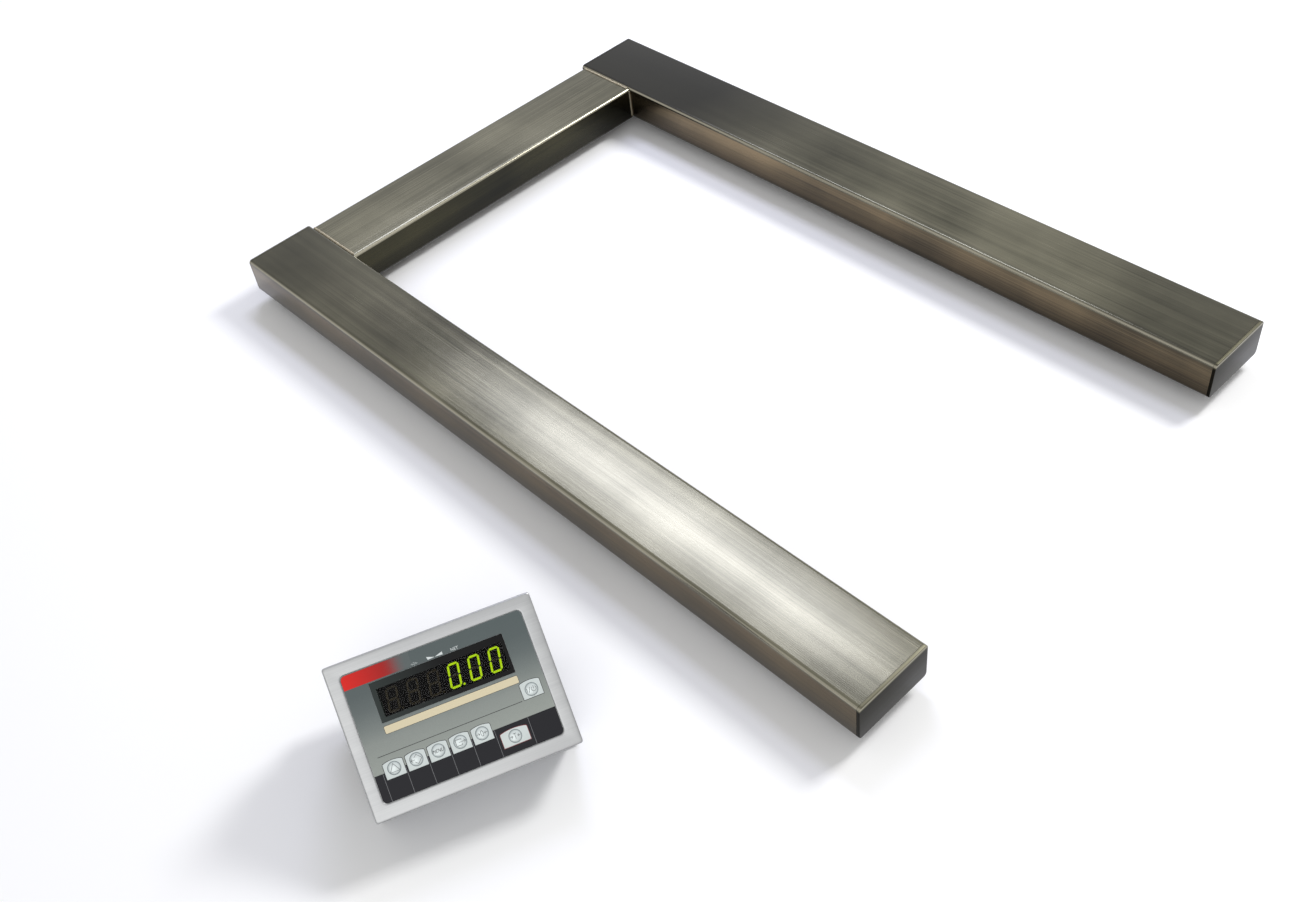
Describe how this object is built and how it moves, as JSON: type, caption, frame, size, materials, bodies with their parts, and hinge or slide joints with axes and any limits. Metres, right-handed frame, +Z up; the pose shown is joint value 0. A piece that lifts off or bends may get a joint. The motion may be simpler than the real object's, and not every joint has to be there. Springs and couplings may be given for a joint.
{
  "type": "pallet scale",
  "caption": "U-shaped floor scale of stainless tube on load cells and levelling feet, with a separate desk indicator on a bent-sheet stand.",
  "frame": {"origin": "middle of the whole footprint at floor level, platform and indicator together", "axes": "+Z up; +X along the two beams towards the open end of the U; +Y from the indicator towards the far beam"},
  "size_m": [1.2784, 1.2922, 0.1857],
  "materials": {
    "brushed_tube": "brushed along the tube's length",
    "end_plate_steel": "brushed",
    "satin_steel": "satin",
    "bent_steel": "satin",
    "cell_steel": "nickel plated",
    "zinc_steel": "zinc plated",
    "nickel_brass": "nickel plated",
    "gasket_rubber": "matte",
    "cable_sheath": "matte",
    "circuit_board": "solder mask",
    "digit_block": "dark face with light segments",
    "printed_film": "printed polyester film",
    "dark_window": "clear gloss",
    "key_cap": "printed polyester dome"
  },
  "bodies": {
    "platform": {"left_beam": "brushed_tube", "right_beam": "brushed_tube", "crossbar": "brushed_tube", "end_plate_1": "end_plate_steel", "end_plate_2": "end_plate_steel", "end_plate_3": "end_plate_steel", "end_plate_4": "end_plate_steel", "load_cell_1": "cell_steel", "load_cell_2": "cell_steel", "load_cell_3": "cell_steel", "load_cell_4": "cell_steel", "cell_bolts_1": "zinc_steel", "cell_bolts_2": "zinc_steel", "cell_bolts_3": "zinc_steel", "cell_bolts_4": "zinc_steel", "foot_locknut_1": "zinc_steel", "foot_locknut_2": "zinc_steel", "foot_locknut_3": "zinc_steel", "foot_locknut_4": "zinc_steel", "cell_cable_1": "cable_sheath", "cell_cable_2": "cable_sheath", "cell_cable_3": "cable_sheath", "cell_cable_4": "cable_sheath", "junction_board": "circuit_board", "access_cover": "satin_steel", "access_cover_screw_1": "zinc_steel", "access_cover_screw_2": "zinc_steel", "platform_gland": "nickel_brass"},
    "foot_1": {"foot_pad_1": "zinc_steel"},
    "foot_2": {"foot_pad_2": "zinc_steel"},
    "foot_3": {"foot_pad_3": "zinc_steel"},
    "foot_4": {"foot_pad_4": "zinc_steel"},
    "stud_1": {"foot_stud_1": "zinc_steel"},
    "stud_2": {"foot_stud_2": "zinc_steel"},
    "stud_3": {"foot_stud_3": "zinc_steel"},
    "stud_4": {"foot_stud_4": "zinc_steel"},
    "indicator": {"rear_housing": "satin_steel", "front_cover": "satin_steel", "front_gasket": "gasket_rubber", "keypad_film": "printed_film", "display_window": "dark_window", "display_digits": "digit_block", "front_board": "circuit_board", "power_board": "circuit_board", "housing_gland_1": "nickel_brass", "housing_gland_2": "nickel_brass", "housing_screw_1": "zinc_steel", "housing_screw_2": "zinc_steel", "housing_screw_3": "zinc_steel", "housing_screw_4": "zinc_steel", "stand": "bent_steel", "stand_screw_1": "zinc_steel", "stand_screw_2": "zinc_steel"},
    "test_key": {"key_test": "key_cap"},
    "units_key": {"key_units": "key_cap"},
    "menu_key": {"key_menu": "key_cap"},
    "print_key": {"key_print": "key_cap"},
    "zero_key": {"key_zero": "key_cap"},
    "tare_key": {"key_tare": "key_cap"},
    "power_key": {"key_power": "key_cap"}
  },
  "joints": [
    {"name": "foot_height_1", "type": "slide", "parent": "platform", "child": "foot_1", "axis": [0, 0, 1], "range_m": [-0.004, 0.004]},
    {"name": "foot_height_2", "type": "slide", "parent": "platform", "child": "foot_2", "axis": [0, 0, 1], "range_m": [-0.004, 0.004]},
    {"name": "foot_height_3", "type": "slide", "parent": "platform", "child": "foot_3", "axis": [0, 0, 1], "range_m": [-0.004, 0.004]},
    {"name": "foot_height_4", "type": "slide", "parent": "platform", "child": "foot_4", "axis": [0, 0, 1], "range_m": [-0.004, 0.004]},
    {"name": "stud_turn_1", "type": "hinge", "parent": "foot_1", "child": "stud_1", "pos_m": [-0.56085, -0.13393, 0.01], "axis": [0, 0, 1], "range_deg": [-822.86, 822.86]},
    {"name": "stud_turn_2", "type": "hinge", "parent": "foot_2", "child": "stud_2", "pos_m": [0.57915, -0.13393, 0.01], "axis": [0, 0, 1], "range_deg": [-822.86, 822.86]},
    {"name": "stud_turn_3", "type": "hinge", "parent": "foot_3", "child": "stud_3", "pos_m": [-0.56085, 0.58606, 0.01], "axis": [0, 0, 1], "range_deg": [-822.86, 822.86]},
    {"name": "stud_turn_4", "type": "hinge", "parent": "foot_4", "child": "stud_4", "pos_m": [0.57915, 0.58606, 0.01], "axis": [0, 0, 1], "range_deg": [-822.86, 822.86]},
    {"name": "indicator_lift", "type": "slide", "parent": "platform", "child": "indicator", "axis": [0, 0, 1], "range_m": [0, 0.25]},
    {"name": "test_press", "type": "slide", "parent": "indicator", "child": "test_key", "axis": [-0.596, 0.2408, -0.766], "range_m": [0, 0.0005], "stiffness_N_per_m": 800},
    {"name": "units_press", "type": "slide", "parent": "indicator", "child": "units_key", "axis": [-0.596, 0.2408, -0.766], "range_m": [0, 0.0005], "stiffness_N_per_m": 800},
    {"name": "menu_press", "type": "slide", "parent": "indicator", "child": "menu_key", "axis": [-0.596, 0.2408, -0.766], "range_m": [0, 0.0005], "stiffness_N_per_m": 800},
    {"name": "print_press", "type": "slide", "parent": "indicator", "child": "print_key", "axis": [-0.596, 0.2408, -0.766], "range_m": [0, 0.0005], "stiffness_N_per_m": 800},
    {"name": "zero_press", "type": "slide", "parent": "indicator", "child": "zero_key", "axis": [-0.596, 0.2408, -0.766], "range_m": [0, 0.0005], "stiffness_N_per_m": 800},
    {"name": "tare_press", "type": "slide", "parent": "indicator", "child": "tare_key", "axis": [-0.596, 0.2408, -0.766], "range_m": [0, 0.0005], "stiffness_N_per_m": 800},
    {"name": "power_press", "type": "slide", "parent": "indicator", "child": "power_key", "axis": [-0.596, 0.2408, -0.766], "range_m": [0, 0.0005], "stiffness_N_per_m": 800}
  ],
  "couplings": [
    {"joint": "stud_turn_1", "follows": "foot_height_1", "rad_per_m": 3590.4},
    {"joint": "stud_turn_2", "follows": "foot_height_2", "rad_per_m": 3590.4},
    {"joint": "stud_turn_3", "follows": "foot_height_3", "rad_per_m": 3590.4},
    {"joint": "stud_turn_4", "follows": "foot_height_4", "rad_per_m": 3590.4}
  ]
}
